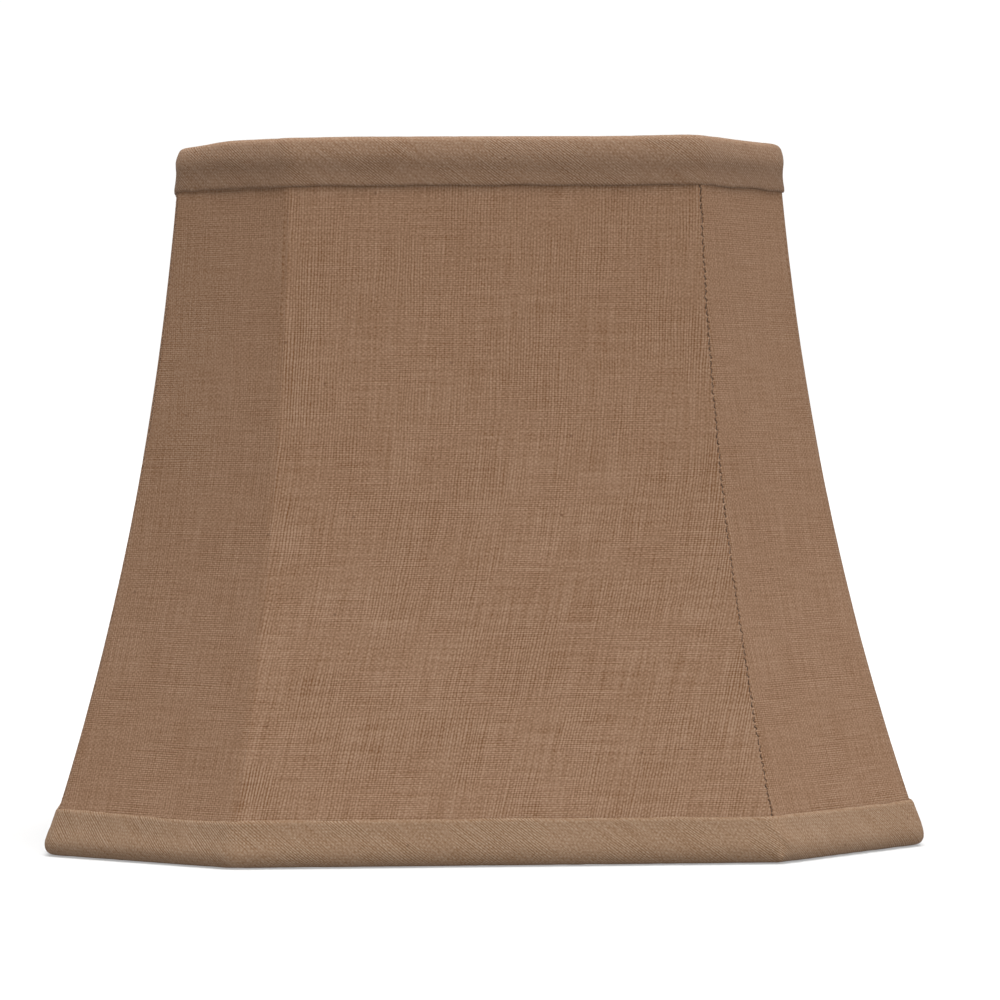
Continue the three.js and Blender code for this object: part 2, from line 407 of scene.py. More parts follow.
def cloth_place(g, turn):
    """The place on the flat cloth, in metres, turned by an angle: along the weft, then along the warp."""
    turned = g.add("VectorRotate", rotation_type="Z_AXIS")
    g.plug(turned.inputs["Vector"], g.uv("cloth"))
    turned.inputs["Angle"].default_value = turn
    return g.split(turned.outputs[0])


# Where the cut panel starts beside the fold, for the weave and for its painted shade, from the fold's far
# side.
CUT_SIDE = -2.0 * MM
CUT_SHADE_SIDE = -1.5 * MM


def pricked_fold(g, from_fold, along):
    """Dark pricks down the upper part of the fold, where stitches hold it to the rib."""
    beside_fold = g.product(
        g.ramp(from_fold, -2.4 * MM, -1.9 * MM),
        g.ramp(from_fold, -1.5 * MM, -1.1 * MM, 1.0, 0.0),
    )
    pricks = g.ramp(g.math("SINE", g.math("MULTIPLY", along, 2 * math.pi / STITCH_PITCH)), -0.3, 0.6)
    return g.product(beside_fold, pricks, g.ramp(along, 110 * MM, 170 * MM, 0.0, -0.22))


def add_neps(g, colour, across, along, dark, strength):
    """Small dark knots caught in the yarn: a few of the cells of a Voronoi pattern have one."""
    cells = g.add("TexVoronoi", voronoi_dimensions="2D", feature="F1")
    g.plug(cells.inputs["Vector"], g.combine(across, along))
    cells.inputs["Scale"].default_value = 85.0
    pick, _ = g.split(cells.outputs["Color"])
    near = g.ramp(cells.outputs["Distance"], 0.02, 0.05, 1.0, 0.0)
    nep = g.product(near, g.ramp(pick, 0.90, 0.94))
    knot = (dark[0] * 0.6, dark[1] * 0.55, dark[2] * 0.55, 1)
    return g.mix(g.math("MULTIPLY", nep, strength, clamp=True), colour, knot)


def woven(name, light, dark, warp_pitch, weft_pitch, turn=0.0, depth=0.09 * MM,
          warp_show=0.52, weft_show=0.44, uneven=1.0, neps=0.5, warp_uneven=0.14,
          opened_with_painted_light=False, hem_painted_shade=None):
    """Plain weave of uneven threads. warp_show and weft_show are how far each set stands out, and depth is
    how deep the weave is. opened_with_painted_light is for cloth that is stretched open towards its foot
    and beside its fold and seam, and it also paints a paler foot and shade on the cut panels.
    hem_painted_shade is painted shade in a band below the binding's roll, down to its hem: how dark, and
    the two distances from its edge where that ends."""
    g = Graph(name)
    across, along = cloth_place(g, turn)
    warp = g.math("DIVIDE", across, warp_pitch)
    weft = g.math("DIVIDE", along, weft_pitch)
    # Threads wander, so that they crowd and spread.
    wander = 0.42 * uneven
    warp = g.total(warp, g.product(g.noise(warp, weft, 0.16, 0.03), wander))
    weft = g.total(weft, g.product(g.noise(warp, weft, 0.02, 0.14, shift=40.0), wander))
    warp_wave = g.math("SINE", g.math("MULTIPLY", warp, math.pi))
    weft_wave = g.math("SINE", g.math("MULTIPLY", weft, math.pi))
    over = g.product(warp_wave, weft_wave)
    # The threads' round tops, as heights about their mean.
    mean = 0.64
    warp_body = g.math("SUBTRACT", g.math("ABSOLUTE", warp_wave), mean)
    weft_body = g.math("SUBTRACT", g.math("ABSOLUTE", weft_wave), mean)
    # Patches, a centimetre or two across, where one set of threads or the other stands out.
    warp_patch = g.ramp(g.noise(across, along, 60.0, 45.0, shift=5.0), -0.5, 0.5, 0.30, 1.1)
    weft_patch = g.ramp(g.noise(across, along, 42.0, 75.0, shift=17.0), -0.4, 0.5, 0.12, 1.15)
    # Single threads run thick and thin, and paler or darker, for a way along their length.
    warp_weight = g.noise(warp, weft, 0.9, 0.03, detail=3.0, rough=0.6, shift=11.0)
    weft_weight = g.noise(warp, weft, 0.05, 0.9, detail=3.0, rough=0.65, shift=23.0)
    slub_spots = g.ramp(g.noise(warp, weft, 0.028, 0.5, detail=0.0, shift=71.0), 0.45, 0.7)
    slub = g.product(g.total(weft_body, mean), slub_spots)
    warp_height = g.product(warp_body, warp_patch, warp_show)
    weft_height = g.product(weft_body, weft_patch, weft_show)
    if opened_with_painted_light:
        from_fold, from_seam = g.split(g.uv("edges"))
        by_fold = g.product(
            g.ramp(from_fold, -1.0 * MM, 0.2 * MM),
            g.ramp(from_fold, 4 * MM, 11 * MM, 0.8, 0.0),
        )
        by_seam = g.ramp(from_seam, 2 * MM, 9 * MM, 0.35, 0.0)
        opened = g.math("ADD", 1.0, g.math("MAXIMUM", by_fold, by_seam))
        warp_height = g.product(warp_height, opened, g.ramp(from_fold, CUT_SIDE, 0.0, 0.7, 1.0))
        weft_height = g.product(weft_height, g.ramp(from_fold, CUT_SIDE, 0.0, 1.25, 1.0))
    height = g.total(
        warp_height,
        weft_height,
        g.product(over, 0.12),
        g.product(warp_weight, warp_uneven * uneven),
        g.product(weft_weight, 0.14 * uneven),
        g.product(slub, 0.13 * uneven),
    )
    blotch = g.noise(across, along, 24.0, 24.0, detail=4.0, rough=0.6, shift=5.0)
    grain = g.noise(across, along, 1500.0, 1700.0, shift=3.0)
    middle = 0.5
    if opened_with_painted_light:
        # Softer threads towards the top and on the cut panel, and a painted paler foot, where the flared
        # cloth faces the light.
        height = g.product(
            height,
            g.ramp(along, 40 * MM, 190 * MM, 1.02, 0.68),
            g.ramp(from_fold, CUT_SIDE, 0.0, 0.78, 1.0),
        )
        # Painted shade on the cut panel, which turns away from the light, darker towards its foot.
        painted_shade_on_cut = g.product(
            g.ramp(from_fold, CUT_SHADE_SIDE, 0.0, 1.0, 0.0),
            g.ramp(along, 20 * MM, 170 * MM, -0.060, -0.022),
        )
        painted_light_foot_to_top = g.ramp(along, 0.0, 190 * MM, 0.550, 0.475)
        middle = g.total(painted_light_foot_to_top, painted_shade_on_cut, pricked_fold(g, from_fold, along))
    # The colour follows the threads' height: paler tops and darker gaps between them, partly the yarn's own
    # colour and partly painted shade.
    tone = g.total(height, middle, g.product(blotch, 0.028 * uneven))
    tone = g.math("ADD", tone, g.product(grain, 0.26 * uneven), clamp=True)
    colour = g.mix(tone, (*dark, 1), (*light, 1))
    # Painted shade: a darker band below the top binding's roll, down to its hem, with an uneven edge.
    if hem_painted_shade:
        darkest, near_edge, far_edge = hem_painted_shade
        _, from_hem = g.split(g.uv("cloth"))
        edge = g.total(from_hem, g.product(blotch, 1.2 * MM))
        painted_shade_brown = (0.02, 0.006, 0.0, 1)
        colour = g.mix(g.ramp(edge, near_edge, far_edge, darkest, 0.0), colour, painted_shade_brown)
    colour = add_neps(g, colour, across, along, dark, neps)
    g.bump(height, depth)
    roughness = g.ramp(height, -0.6, 0.6, 0.98, 0.88)
    return g.finish(Base_Color=colour, Roughness=roughness, Specular_IOR_Level=0.12,
                    Sheen_Weight=0.01, Sheen_Roughness=0.6)


def plated(name, colour, roughness):
    """Zinc-plated wire: bright, with dull patches and spots."""
    g = Graph(name)
    place = g.add("TexCoord").outputs["Object"]
    patches = g.add("TexNoise")
    g.plug(patches.inputs["Vector"], place)
    patches.inputs["Scale"].default_value = 160.0
    patches.inputs["Detail"].default_value = 5.0
    spots = g.add("TexNoise")
    g.plug(spots.inputs["Vector"], place)
    spots.inputs["Scale"].default_value = 1400.0
    dull = g.ramp(patches.outputs["Fac"], 0.35, 0.7)
    shade = g.mix(dull, (*colour, 1), (*(c * 0.72 for c in colour), 1))
    g.bump(g.total(spots.outputs["Fac"], g.product(dull, 0.5)), 0.03 * MM, 0.6)
    rough = g.ramp(patches.outputs["Fac"], 0.3, 0.75, roughness, roughness + 0.22)
    return g.finish(Base_Color=shade, Metallic=1.0, Roughness=rough)


def spun(name, light, dark):
    """Sewing thread: mottled, with a fine twist."""
    g = Graph(name)
    place = g.add("TexCoord").outputs["Object"]
    mottle = g.add("TexNoise")
    g.plug(mottle.inputs["Vector"], place)
    mottle.inputs["Scale"].default_value = 900.0
    mottle.inputs["Detail"].default_value = 3.0
    tone = g.ramp(mottle.outputs["Fac"], 0.3, 0.7)
    g.bump(tone, 0.03 * MM)
    colour = g.mix(tone, (*dark, 1), (*light, 1))
    return g.finish(Base_Color=colour, Roughness=0.9, Specular_IOR_Level=0.2)


WARP_PITCH = 0.84 * MM
WEFT_PITCH = 0.605 * MM
STITCH_PITCH = 2.05 * MM

# Both bindings are cut on the bias: their ribs run down to the right.
BIAS_TURN = math.radians(38)
BIAS = dict(warp_show=0.16, weft_show=0.62, depth=0.1 * MM, warp_uneven=0.06)

linen = woven("linen", (0.2335, 0.1505, 0.100), (0.0985, 0.0430, 0.0155), WARP_PITCH, WEFT_PITCH,
              opened_with_painted_light=True)
binding = woven("binding", (0.229, 0.161, 0.111), (0.116, 0.057, 0.024), WARP_PITCH, WEFT_PITCH,
                -BIAS_TURN, **BIAS)
# The top binding's cloth is a darker copy of the bottom one's, a painted shade, with a painted shade band
# below its roll.
top_binding_painted_darker = woven("top binding painted darker", (0.214, 0.147, 0.103), (0.108, 0.051, 0.022), WARP_PITCH, WEFT_PITCH,
                      BIAS_TURN, hem_painted_shade=(0.22, 8.9 * MM, 12.5 * MM), **BIAS)
lining = woven("lining", (0.90, 0.86, 0.77), (0.66, 0.61, 0.51), 0.42 * MM, 0.36 * MM, depth=0.05 * MM,
               warp_show=0.3, weft_show=0.3, uneven=0.45, neps=0.2)
wire = plated("zinc wire", (0.33, 0.325, 0.31), 0.44)
thread = spun("seam thread", (0.26, 0.165, 0.105), (0.15, 0.08, 0.045))


# -------------------- cloth pieces

# The warp's lean: the heights that it changes between, and its slope above and below them.
LEAN_TOP = 150 * MM
LEAN_FOOT = 60 * MM
TOP_SLOPE = 0.045
FOOT_SLOPE = 0.235


def warp_slope(z):
    """How far the warp leans from upright at a height: nearly upright at the top, most at the foot."""
    share = within((LEAN_TOP - z) / (LEAN_TOP - LEAN_FOOT))
    return TOP_SLOPE + (FOOT_SLOPE - TOP_SLOPE) * share * share * (3 - 2 * share)


def seam_share(side, z):
    """Share of a corner's turn that its seam runs at: it wanders from stitch to stitch."""
    hook = ((z / STITCH_PITCH + 0.6 * ripple((z, 0), 5 * MM, side + 0.5)) % 1) - 0.5
    fine = ripple((z, 0), 2.4 * MM, side + 3.5)
    slow = ripple((z, 0), 20 * MM, side + 5.5)
    return 0.5 + 0.26 * hook + 0.10 * fine + 0.06 * slow


SEAM_STEPS = 6
FOLD_STEPS = 8
PANEL_STEPS = 44


def piece_row(side, z, offset, crown, gap, wanders):
    """One height of a cover or lining piece: a cut-corner panel, a fold, and the main panel after it."""
    before = after = 0.5
    if wanders:
        before, after = seam_share((side - 1) % 4, z), seam_share(side, z)
    seam_in = corner_arc(side - 1, 1, z, offset, SEAM_RADIUS, even(SEAM_STEPS, before + gap, 1))
    fold = corner_arc(side, -1, z, offset, FOLD_RADIUS, even(FOLD_STEPS))
    seam_out = corner_arc(side, 1, z, offset, SEAM_RADIUS, even(SEAM_STEPS, 0, after - gap))
    swell = math.sin(math.pi * z / HEIGHT)
    cut = run(seam_in[-1], fold[0], slit_shares(seam_in[-1], fold[0], side), crown * 0.3 * swell)
    main = run(fold[-1], seam_out[0], eased(PANEL_STEPS, 0.7), crown * swell)
    return seam_in + cut + fold + main + seam_out


# Columns of a piece: the seam's rounding, the cut corner with the slit's two columns, the fold's rounding,
# the main panel, and the next seam's rounding.
FIRST_SLIT = SEAM_STEPS + SLIT_STEPS
FOLD_COLUMN = SEAM_STEPS + 1 + 2 * SLIT_STEPS + 1 + FOLD_STEPS // 2


def piece_rows(side, offset, crown, heights, roughen, gap, wanders=False):
    """Rows of 3-D points and their places on the flat cloth."""
    rows, cloth = [], []
    rise = drift = 0.0
    for number, z in enumerate(heights):
        points = piece_row(side, z, offset, crown, gap, wanders)
        if number:
            step = z - heights[number - 1]
            rise += math.hypot(step, panel_reach(z) - panel_reach(z - step))
            drift += warp_slope(z - step / 2) * step
        walk = [0.0]
        for a, b in zip(points, points[1:]):
            walk.append(walk[-1] + (b - a).length)
        start = walk[FOLD_COLUMN] + corner_reach(z) - CORNER_SHIFT
        places = [(w - start - drift, rise) for w in walk]
        row = []
        for i, (point, place) in enumerate(zip(points, places)):
            wave = 0.7 * ripple(place, 30 * MM, side + 1) + 0.3 * ripple(place, 8 * MM, side + 9)
            moved = point + outward_at(points, i) * (roughen * wave)
            row.append(Vector((moved.x, moved.y, z)))
        rows.append(row)
        cloth.append(places)
    return rows, cloth


def inward_at(point):
    return Vector((-point.x, -point.y, 0)).normalized()


def crease(rows):
    """Presses the fold in a little beside the rib, unevenly."""
    for row in rows:
        for before_fold, depth in ((3, 0.10 * MM), (2, 0.16 * MM), (1, 0.08 * MM)):
            point = row[FOLD_COLUMN - before_fold]
            uneven = 1 + 0.9 * ripple((point.z, 0), 1.6 * MM, 2.5)
            row[FOLD_COLUMN - before_fold] = point + inward_at(point) * depth * uneven


def edge_distances(cloth):
    """Each point's distances along the cloth from the fold's far side and from the nearer seam."""
    edges = []
    for places in cloth:
        fold, first, last = (places[i][0] for i in (FOLD_COLUMN + FOLD_STEPS // 2, 0, -1))
        edges.append([(u - fold, min(u - first, last - u)) for u, v in places])
    return edges


COVER_THICKNESS = 0.45 * MM
COVER_MARGIN = 4 * MM
COVER_CROWN = 0.4 * MM
LINER_THICKNESS = 0.3 * MM
LINER_MARGIN = 3 * MM
LINER_CROWN = 0.6 * MM

# Half the gap between two sewn edges, as a share of the corner's turn, and the groove that they lie in.
SEAM_GAP = 0.024
SEAM_DEPTH = 0.32 * MM
SEAM_WIDTH = 0.45 * MM


def stitch_wobble(z, side):
    """Uneven pull of the seam's stitches at a height, from -1 to 1."""
    return 0.5 * math.cos(2 * math.pi * z / STITCH_PITCH) + 0.5 * ripple((z, 0), 1.7 * MM, side + 0.5)


def groove(rows, side):
    """Turns the two seam edges in towards the rib, pulled deeper and shallower by the stitches."""
    for row in rows:
        z = row[0].z
        for edge, seam in ((0, side - 1), (-1, side)):
            pull = 1 + 0.35 * stitch_wobble(z, seam % 4)
            last = len(row) - 1
            for k in range(SEAM_STEPS + 2):
                i = k if edge == 0 else last - k
                away = (row[i] - row[edge]).length if k else 0.0
                row[i] = row[i] + inward_at(row[i]) * (SEAM_DEPTH * pull * bell(away, SEAM_WIDTH))


def make_covers():
    """The linen: four pieces, each folded round one rib and sewn to the next over another."""
    for side, name in enumerate(SIDES):
        heights = even(480, BOTTOM + COVER_MARGIN, TOP - COVER_MARGIN)
        rows, cloth = piece_rows(side, 0.0, COVER_CROWN, heights, 0.10 * MM, SEAM_GAP, True)
        groove(rows, side)
        crease(rows)
        piece = grid_mesh(f"linen_{name}", rows, cloth, edges=edge_distances(cloth))
        thicken(piece, COVER_THICKNESS, -1)
        dress(piece, linen, "linen", f"cover_{name}")


def make_liners():
    """The lining, with a slit down from its top edge for each arm."""
    slit_bottom = ARM_TOP - 2 * ARM_RADIUS - 0.3 * MM
    for side, name in enumerate(SIDES):
        heights = even(60, BOTTOM + LINER_MARGIN, slit_bottom) + [TOP - LINER_MARGIN]
        rows, cloth = piece_rows(side, LINER_OFFSET, LINER_CROWN, heights, 0.12 * MM, SEAM_GAP)
        top = len(rows) - 2
        slit = {(top, FIRST_SLIT), (top, FIRST_SLIT + 1)}
        piece = grid_mesh(f"lining_{name}", rows, cloth, gaps=slit)
        thicken(piece, LINER_THICKNESS, -1)
        dress(piece, lining, "lining", f"liner_{name}")


def seam_point(side, share, z, lift):
    """Point on a cover at a share of its seam corner's turn, this far above the cloth."""
    point = corner_arc(side, 1, z, lift, SEAM_RADIUS + lift, [share])[0]
    return Vector((point.x, point.y, z))


# Where the seam's stitches start, and where its frayed fibres do, from the foot and from the top.
FIRST_STITCH = 13.6 * MM
UNSEWN_HEIGHT = 28 * MM
FRAYED_FOOT = 13.2 * MM
FRAYED_TOP = 14.6 * MM
FRAY_PITCH = 0.75 * MM
STITCH_SIZE = (0.13 * MM, 0.24 * MM)
FIBRE_RADIUS = 0.06 * MM


def overcast_stitch(side, number):
    """Points of one slanted stitch over the seam, dipping under the cloth at both ends."""
    z = BOTTOM + FIRST_STITCH + number * STITCH_PITCH
    wobble = ripple((number, 0), 1.7, side + 2.5)
    slant = (0.5 + 0.4 * wobble) * MM
    near = 0.30 + 0.07 * wobble
    far = 0.72 + 0.07 * ripple((number, 5), 1.3, side + 4.5)
    path = (
        (near, -0.45), (near + 0.06, -0.16), (0.44, -0.30), (0.56, -0.32), (far - 0.06, -0.18), (far, -0.5),
    )
    return [
        seam_point(side, share, z + slant * (share - 0.5) * 2, lift * MM)
        for share, lift in path
    ]


def frayed_fibre(side, number):
    """Points of one loose fibre at the seam: by turns near the bottom binding and near the top one."""
    step = (number // 2) * FRAY_PITCH
    z = BOTTOM + FRAYED_FOOT + step if number % 2 == 0 else TOP - FRAYED_TOP - step
    reach = 0.5 + 0.22 * ripple((number, 1), 0.7, side + 6)
    swing = 1.6 * MM * ripple((number, 2), 0.7, side + 7)
    return [
        seam_point(side, 0.5, z, -0.3 * MM),
        seam_point(side, (0.5 + reach) / 2, z + swing * 0.4, 0.10 * MM),
        seam_point(side, reach, z + swing, 0.22 * MM),
    ]


def make_stitches():
    """Overcast stitches down each seam, and a few fibres frayed from the seam near the bindings."""
    for side, name in enumerate(SIDES):
        seam = Strands()
        for number in range(int((HEIGHT - UNSEWN_HEIGHT) / STITCH_PITCH)):
            points = overcast_stitch(side, number)
            seam.add(points, [STITCH_SIZE] * len(points), 6)
        for number in range(26):
            seam.add(frayed_fibre(side, number), FIBRE_RADIUS, 4)
        dress(seam.build(f"seam_{name}"), thread, "linen")


# -------------------- bindings

TRIM_RADIUS = 7 * MM
TRIM_THICKNESS = 0.3 * MM

# Sections of the bindings, from the outer hem over the ring to the inner hem: offset outward and depth
# in from the shade's edge, in millimetres. The outer hem of the top one stands off the cloth.
INNER_LEG = (
    (-6.0, 2.8), (-6.15, 5.2), (-6.05, 8.6), (-5.98, 11.0), (-5.78, 11.6), (-5.55, 11.2), (-5.50, 9.0),
)
TOP_SECTION = (
    (0.08, 10.6), (0.08, 12.3), (0.14, 13.4), (0.42, 14.05), (0.82, 13.85), (0.90, 13.0), (0.80, 11.4),
    (0.78, 9.8), (0.92, 8.3), (1.18, 6.9), (1.40, 5.5), (1.36, 4.2), (1.14, 2.9), (0.78, 1.6), (0.10, 0.72),
    (-1.2, 0.22), (-3.0, 0.16), (-4.9, 1.0), *INNER_LEG,
)
BOTTOM_SECTION = (
    (0.18, 9.8), (0.18, 11.4), (0.22, 12.3), (0.40, 12.78), (0.66, 12.60), (0.88, 12.05), (0.92, 11.0),
    (0.98, 9.4), (1.06, 7.8), (1.14, 6.0), (0.98, 3.9), (0.30, 2.0), (-0.9, 0.72), (-2.4, 0.16),
    (-3.8, 0.30), (-5.2, 1.2), *INNER_LEG,
)


def spline_through(points, steps):
    """Catmull-Rom curve through 2-D points, with this many steps to a span."""
    padded = [points[0], *points, points[-1]]
    path = []
    for a, b, c, d in zip(padded, padded[1:], padded[2:], padded[3:]):
        for i in range(steps):
            t = i / steps
            path.append(tuple(
                0.5 * (
                    2 * q
                    + (r - p) * t
                    + (2 * p - 5 * q + 4 * r - s) * t**2
                    + (3 * q - p - 3 * r + s) * t**3
                )
                for p, q, r, s in zip(a, b, c, d)
            ))
    path.append(points[-1])
    return path


TRIM_RUN = 70
TRIM_TURN = 12


def trim_loop(z, offset):
    """Closed plan outline of a binding at a height: each side's first corner, run, second corner and cut
    corner in turn."""
    points = []
    for side in range(4):
        first = corner_arc(side, -1, z, offset, TRIM_RADIUS, even(TRIM_TURN))
        second = corner_arc(side, 1, z, offset, TRIM_RADIUS, even(TRIM_TURN))
        following = corner_arc(side + 1, -1, z, offset, TRIM_RADIUS, [0])[0]
        points += first + run(first[-1], second[0], even(TRIM_RUN)) + second
        points += run(second[-1], following, slit_shares(second[-1], following, side + 1))
    return points


def starting_at(loop, column):
    return loop[column:] + loop[:column]


# Columns of a binding: in one side, before one side's slit, and before one side's second corner.
TRIM_SIDE = (TRIM_TURN + 1) * 2 + TRIM_RUN - 1 + 2 * SLIT_STEPS + 1
TRIM_SLIT = (TRIM_TURN + 1) * 2 + TRIM_RUN - 1 + SLIT_STEPS - 1
TRIM_SECOND_CORNER = TRIM_TURN + TRIM_RUN


def binding_join(walk, depth, plump):
    """Extra height, in millimetres, where the binding's end is tucked over its start. walk is from the
    corner that the join is at, and plump is how far the tucked end stands out at the shade's edge."""
    join, lap_length, hem = 1.5, 9, 9
    slanted = walk / MM - join - 0.9 * (hem - depth)
    low = 1 / (1 + math.exp((depth - hem) / 1.2))
    lap = 0.28 * low / (1 + math.exp(-slanted / 0.3)) / (1 + math.exp((slanted - lap_length) / 2.2))
    dent = -0.22 * low * math.exp(-((slanted + 0.7) ** 2) / 0.5)
    nub = plump * math.exp(-(((walk / MM - 3.0) / 1.0) ** 2 + ((depth - 1.2) / 1.2) ** 2))
    return lap + dent + nub


# How far a binding is drawn tight before and after a corner, how tight most corners are, and the side
# whose second corner, at the front left, is the tightest.
DRAWN_BEFORE = 26 * MM
DRAWN_AFTER = 12 * MM
DRAWN_USUAL = 0.2
DRAWN_SIDE = 3


def drawn_in(place, corners, length):
    """How tightly a binding is drawn round the ring's corners, from 0 to 1, at a place along it."""
    tightness = 0.0
    for corner, amount in corners:
        past = (place - corner + length / 2) % length - length / 2
        tightness = max(tightness, amount * bell(past, DRAWN_AFTER if past > 0 else DRAWN_BEFORE))
    return tightness


def trim_corners(walk, start):
    """Place of each corner along a binding, and how tight it is there."""
    corners = []
    for side in range(4):
        for column in (TRIM_TURN // 2, TRIM_SECOND_CORNER + TRIM_TURN // 2):
            tightest = side == DRAWN_SIDE and column > TRIM_TURN
            at = walk[(side * TRIM_SIDE + column - start) % (len(walk) - 1)]
            corners.append((at, 1.0 if tightest else DRAWN_USUAL))
    return corners


# The inner side of a binding's section is further in than this offset, in millimetres.
TRIM_MIDDLE = -2.6

# Stretches of the bottom binding, as degrees round the shade: flatter against the ring, and a loose hem.
FLATTER_AT, FLATTER_WIDTH = -135, 24
LOOSE_AT, LOOSE_WIDTH = -128, 7

# Length along the top binding over which its edge dips after the corner that it rises at.
DIP_LENGTH = 16 * MM


def trim_mesh(name, section, edge, inward, seed, start, slit_depth=None):
    """A binding round the edge at height edge; inward is 1 for the bottom one and -1 for the top one. Its
    join is at the corner that the column start is in."""
    is_top, is_bottom = inward < 0, inward > 0
    path = spline_through(section, 3)
    rows, cloth = [], []
    reach = 0.0
    gaps = set()
    hem = starting_at(trim_loop(edge, 0.0), start)
    walk = [0.0]
    for a, b in zip(hem, hem[1:] + hem[:1]):
        walk.append(walk[-1] + (b - a).length)
    dip_at = walk[(TRIM_SECOND_CORNER - start) % len(hem)]
    corners = trim_corners(walk, start)
    for number, (offset, depth) in enumerate(path):
        if number:
            reach += math.dist(path[number], path[number - 1]) * MM
        loop = starting_at(trim_loop(edge + inward * depth * MM, offset * MM), start)
        outside = offset > TRIM_MIDDLE
        slack = within((depth - 3.0) / 11)
        row = []
        for i, point in enumerate(loop):
            angle = math.atan2(point.y, point.x)
            degrees = math.degrees(angle)
            place = (math.cos(angle), math.sin(angle))
            drawn = drawn_in(walk[i], corners, walk[-1])

            # Outward, in millimetres: slack in the hem, swelling of the cloth, the join and the corners.
            lift = 0.8 * ripple(place, 0.10, seed + 2) + 0.5 * ripple(place, 0.035, seed + 3)
            swell = 0.10 * ripple((walk[i], reach), 7 * MM, seed + 4)
            swell += 0.07 * ripple((walk[i], reach), 3 * MM, seed + 5)
            push = slack * max(lift, -0.5) * 0.28 + swell
            if outside:
                push += binding_join(walk[i], depth, 0.9 if is_bottom else 0.2)
            if outside and is_top:
                push -= 0.3 * drawn + 0.35 * drawn * max(0.0, 1 - depth / 10)
            if outside and is_bottom:
                flatter = bell(degrees - FLATTER_AT, FLATTER_WIDTH)
                push -= 0.5 * flatter * within((depth - 3.5) / 4)
            out = 1 if outside else -1
            moved = point + outward_at(loop, i, True) * out * push * MM

            # Away from the edge, in millimetres: waves and puckers in the hem, and the rim's own waves.
            wave = ripple(place, 0.16, seed) + 0.45 * ripple(place, 0.05, seed + 1)
            sag = slack * wave * (0.42 if outside else 0.25)
            sag += slack * 0.16 * ripple((walk[i], 0), 3.2 * MM, seed + 8)
            if outside and is_bottom:
                sag -= slack * 0.6 * bell(degrees - LOOSE_AT, LOOSE_WIDTH)
            rim = 0.12 * max(ripple(place, 0.03, seed + 6), 0.0)
            if is_top:
                rim += 1.3 * drawn - 0.15 - 0.6 * bell(walk[i] - dip_at, DIP_LENGTH)
            rim *= max(0.0, 1 - depth / 8)
            row.append(Vector((moved.x, moved.y, edge + inward * (depth + sag + rim) * MM)))
        if slit_depth is not None and not outside and depth > slit_depth:
            for side in range(4):
                slit = (side * TRIM_SIDE + TRIM_SLIT - start) % len(loop)
                gaps |= {(number - 1, slit), (number - 1, slit + 1)}
        rows.append(row)
        cloth.append([(w, reach) for w in walk])
    if is_bottom:
        rows.reverse()
        cloth.reverse()
    return grid_mesh(name, rows, cloth, closed=True, gaps=gaps), reach


def make_trims():
    """The bindings: the top one joined at a back corner and slit for the arms, the bottom one joined at the
    front right."""
    slit_depth = (TOP - ARM_TOP - 0.4 * MM) / MM
    trims = (
        ("top", TOP_SECTION, TOP, -1, 3, TRIM_SECOND_CORNER + 2 * TRIM_SIDE, slit_depth),
        ("bottom", BOTTOM_SECTION, BOTTOM, 1, 5, TRIM_SECOND_CORNER, None),
    )
    for name, section, edge, inward, seed, start, slit in trims:
        piece, width = trim_mesh(f"binding_{name}", section, edge, inward, seed, start, slit)
        thicken(piece, TRIM_THICKNESS, 0)
        dress(piece, top_binding_painted_darker if slit else binding, "binding", f"{name}_trim")


NEATENER_WIDTH = 14 * MM
NEATENER_TUCK = 1.5 * MM


def make_neateners():
    """Small strips of lining, tucked up under the inner hem, that close the slits below the arms."""
    for number in range(1, 5):
        low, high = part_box(f"neatener_{number}")
        top = high.z + NEATENER_TUCK
        side = number - 1
        rows, cloth = [], []
        for z in even(16, low.z, top):
            middle_reach = (cut_reach(z) + NEATENER_OFFSET) / math.cos(cut_turn(z) - math.pi / 4)
            middle = polar(facing(side) - math.pi / 4, middle_reach)
            tangent = facing(side) + cut_turn(z)
            row, places = [], []
            for share in even(22, -0.5, 0.5):
                place = (share * NEATENER_WIDTH, z - low.z)
                puff = 0.06 * ripple(place, 4 * MM, number) - 0.55 * abs(share) ** 3 - 0.05
                edge = 0.50 * ripple(place, 2.5 * MM, number + 5)
                flat = middle + polar(tangent, place[0] + edge * share * MM)
                moved = flat + polar(tangent - math.pi / 2, puff * MM)
                row.append(Vector((moved.x, moved.y, z)))
                places.append(place)
            rows.append(row)
            cloth.append(places)
        piece = grid_mesh(f"slit_cover_{number}", rows, cloth)
        thicken(piece, LINER_THICKNESS, 0)
        dress(piece, lining, "lining", f"neatener_{number}")


# -------------------- fitter and frame

def finish_frame():
    """The rings and ribs are the CAD solids, in plated wire."""
    for name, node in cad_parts.items():
        if name.startswith("rib_") or name in ("top_ring", "bottom_ring"):
            node.data.materials.clear()
            node.data.materials.append(wire)


# Distances of an arm's parts from the axis: its inner end, the flattened end under the washer, the weld
# beads beside it, and where it starts to climb to the ring.
ARM_END = 7.5 * MM
FLAT_END = 15 * MM
FLAT_BLEND = 5 * MM
CLIMB_START = 18 * MM
BEAD_AT = 11.5 * MM
BEAD_HALF = 2.4 * MM
BEAD_ASIDE = 1.45 * MM


def weld_bead(angle, side):
    """Points and sizes of a weld bead beside an arm; side is -1 or 1."""
    middle = polar(angle, BEAD_AT) + polar(angle + math.pi / 2, side * BEAD_ASIDE)
    points, sizes = [], []
    for t in even(8, -1, 1):
        spot = middle + polar(angle, t * BEAD_HALF)
        fullness = math.sqrt(1.02 - t * t) * MM
        points.append(Vector((spot.x, spot.y, washer_low.z - 0.12 * MM)))
        sizes.append((0.75 * fullness, 0.5 * fullness))
    return points, sizes


